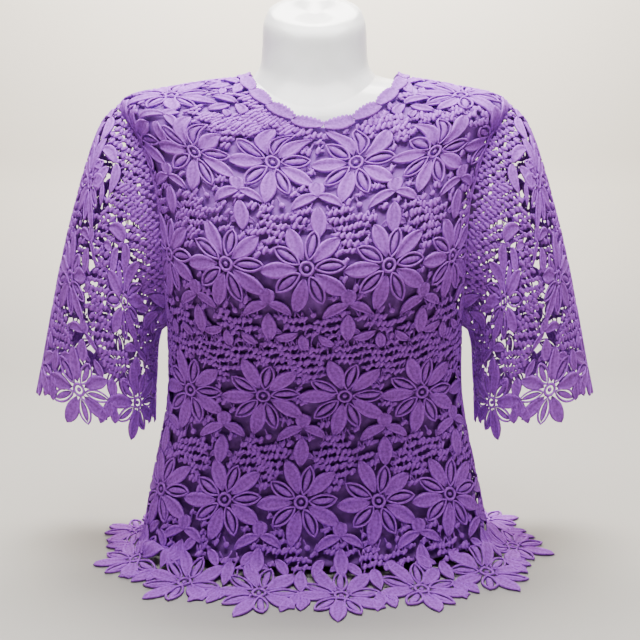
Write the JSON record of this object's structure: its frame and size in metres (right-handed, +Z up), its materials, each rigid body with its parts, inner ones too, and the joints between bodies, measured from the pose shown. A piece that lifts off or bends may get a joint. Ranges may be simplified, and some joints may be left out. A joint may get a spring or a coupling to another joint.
{
  "type": "flower lace top on a headless bust form",
  "caption": "Short-sleeved lace top with scalloped neck, cuffs and hem, worn by a smooth white headless bust form that stands on its flat base.",
  "frame": {"origin": "centre of the bust form's flat base, on the surface it stands on", "axes": "+Z up, the wearer's front faces -Y, the wearer's left is +X"},
  "size_m": [0.5732, 0.3307, 0.581],
  "materials": {
    "lace": "satin-stitched purple chemical lace",
    "lining": "plain purple jersey",
    "form": "glossy white"
  },
  "bodies": {
    "root": {"lace_front": "lace", "lace_back": "lace", "sleeve_left_front": "lace", "sleeve_left_back": "lace", "sleeve_right_front": "lace", "sleeve_right_back": "lace", "neck_trim": "lace", "lining_front": "lining", "lining_back": "lining", "bust_form": "form"}
  },
  "joints": []
}
